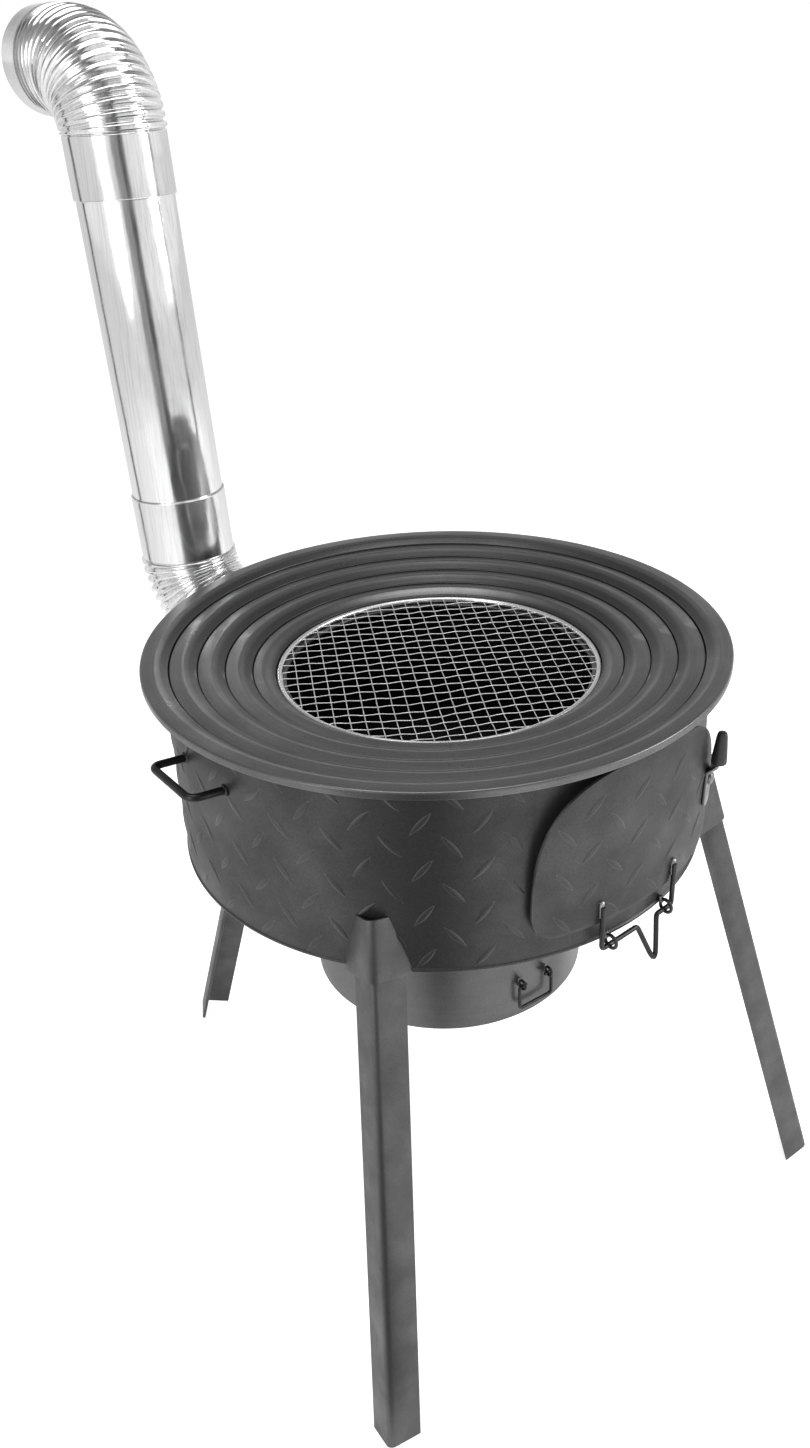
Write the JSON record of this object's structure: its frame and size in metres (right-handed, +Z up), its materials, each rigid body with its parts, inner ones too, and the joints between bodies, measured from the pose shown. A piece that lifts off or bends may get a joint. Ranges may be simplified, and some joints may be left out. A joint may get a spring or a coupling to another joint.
{
  "type": "portable wood stove",
  "caption": "Round portable wood stove on tilted angle legs, with hinged fuel door, nested cooking rings under a mesh grill, ash pan and ribbed-elbow flue.",
  "frame": {"origin": "on the floor, below the middle of the whole extent", "axes": "+Z up, the fuel door faces -Y, the flue rises behind at +Y and the latch is at the door's +X edge"},
  "size_m": [0.5332, 0.6802, 0.9675],
  "materials": {
    "drum_steel": "satin",
    "ring_steel": "satin",
    "leg_steel": "satin",
    "pan_steel": "satin",
    "bright_wire": "polished",
    "grey_wire": "satin",
    "flue_metal": "polished",
    "grate_iron": "matte",
    "black_plastic": "matte"
  },
  "bodies": {
    "stove_body": {"firebox_drum": "drum_steel", "drum_floor": "drum_steel", "pan_collar": "drum_steel", "hinge_eye_left": "grey_wire", "hinge_eye_right": "grey_wire", "latch_keeper": "drum_steel", "leg_socket_front_left": "leg_steel", "leg_socket_front_right": "leg_steel", "leg_socket_rear_left": "leg_steel", "leg_socket_rear_right": "leg_steel", "side_handle_left": "leg_steel", "side_handle_right": "leg_steel", "top_rim": "ring_steel", "flue_outlet": "drum_steel"},
    "grate": {"fire_grate": "grate_iron"},
    "pan": {"ash_pan": "pan_steel", "pan_eye_left": "grey_wire", "pan_eye_right": "grey_wire"},
    "bail": {"pan_bail": "grey_wire"},
    "door": {"fuel_door": "drum_steel", "door_hinge_wire": "grey_wire", "latch_bolt": "bright_wire"},
    "latch": {"latch_lever": "bright_wire", "latch_cap": "black_plastic"},
    "ring_1": {"pot_ring_1": "ring_steel"},
    "ring_2": {"pot_ring_2": "ring_steel"},
    "ring_3": {"pot_ring_3": "ring_steel"},
    "ring_4": {"pot_ring_4": "ring_steel"},
    "grill": {"mesh_grill": "bright_wire"},
    "elbow_low": {"lower_elbow": "flue_metal"},
    "pipe": {"flue_pipe": "flue_metal"},
    "elbow_high": {"upper_elbow": "flue_metal"},
    "front_left_leg": {"leg_front_left": "leg_steel"},
    "front_right_leg": {"leg_front_right": "leg_steel"},
    "rear_left_leg": {"leg_rear_left": "leg_steel"},
    "rear_right_leg": {"leg_rear_right": "leg_steel"}
  },
  "joints": [
    {"name": "door_hinge", "type": "hinge", "parent": "stove_body", "child": "door", "pos_m": [-0.00167, -0.30025, 0.3745], "axis": [1, 0, 0], "range_deg": [-3, 100]},
    {"name": "latch_turn", "type": "hinge", "parent": "door", "child": "latch", "pos_m": [0.0824, -0.28925, 0.4637], "axis": [0.3827, -0.9226, -0.0484], "range_deg": [-10, 90]},
    {"name": "pan_slide", "type": "slide", "parent": "stove_body", "child": "pan", "axis": [0, 0, -1], "range_m": [0, 0.06]},
    {"name": "bail_swing", "type": "hinge", "parent": "pan", "child": "bail", "pos_m": [-0.01267, -0.20251, 0.27], "axis": [-0.9959, 0.0906, 0], "range_deg": [-5, 165]},
    {"name": "grate_lift", "type": "slide", "parent": "stove_body", "child": "grate", "axis": [0, 0, 1], "range_m": [0, 0.045]},
    {"name": "ring_1_lift", "type": "slide", "parent": "stove_body", "child": "ring_1", "axis": [0, 0, 1], "range_m": [0, 0.045]},
    {"name": "ring_2_lift", "type": "slide", "parent": "ring_1", "child": "ring_2", "axis": [0, 0, 1], "range_m": [0, 0.045]},
    {"name": "ring_3_lift", "type": "slide", "parent": "ring_2", "child": "ring_3", "axis": [0, 0, 1], "range_m": [0, 0.045]},
    {"name": "ring_4_lift", "type": "slide", "parent": "ring_3", "child": "ring_4", "axis": [0, 0, 1], "range_m": [0, 0.045]},
    {"name": "grill_lift", "type": "slide", "parent": "ring_4", "child": "grill", "axis": [0, 0, 1], "range_m": [0, 0.045]},
    {"name": "flue_turn", "type": "hinge", "parent": "stove_body", "child": "elbow_low", "pos_m": [-0.03084, 0.16664, 0.477], "axis": [-0.1167, 0.9932, 0], "range_deg": [-90, 90]},
    {"name": "pipe_lift", "type": "slide", "parent": "elbow_low", "child": "pipe", "axis": [-0.0073, 0.0624, 0.998], "range_m": [0, 0.05]},
    {"name": "upper_turn", "type": "hinge", "parent": "pipe", "child": "elbow_high", "pos_m": [-0.03993, 0.24408, 0.85448], "axis": [-0.0073, 0.0624, 0.998], "range_deg": [-180, 180]},
    {"name": "leg_front_left_slide", "type": "slide", "parent": "stove_body", "child": "front_left_leg", "axis": [-0.1918, -0.2059, -0.9596], "range_m": [0, 0.05]},
    {"name": "leg_front_right_slide", "type": "slide", "parent": "stove_body", "child": "front_right_leg", "axis": [0.1838, -0.2099, -0.9603], "range_m": [0, 0.05]},
    {"name": "leg_rear_left_slide", "type": "slide", "parent": "stove_body", "child": "rear_left_leg", "axis": [-0.1277, 0.2565, -0.9581], "range_m": [0, 0.05]},
    {"name": "leg_rear_right_slide", "type": "slide", "parent": "stove_body", "child": "rear_right_leg", "axis": [0.218, 0.1741, -0.9603], "range_m": [0, 0.05]}
  ]
}
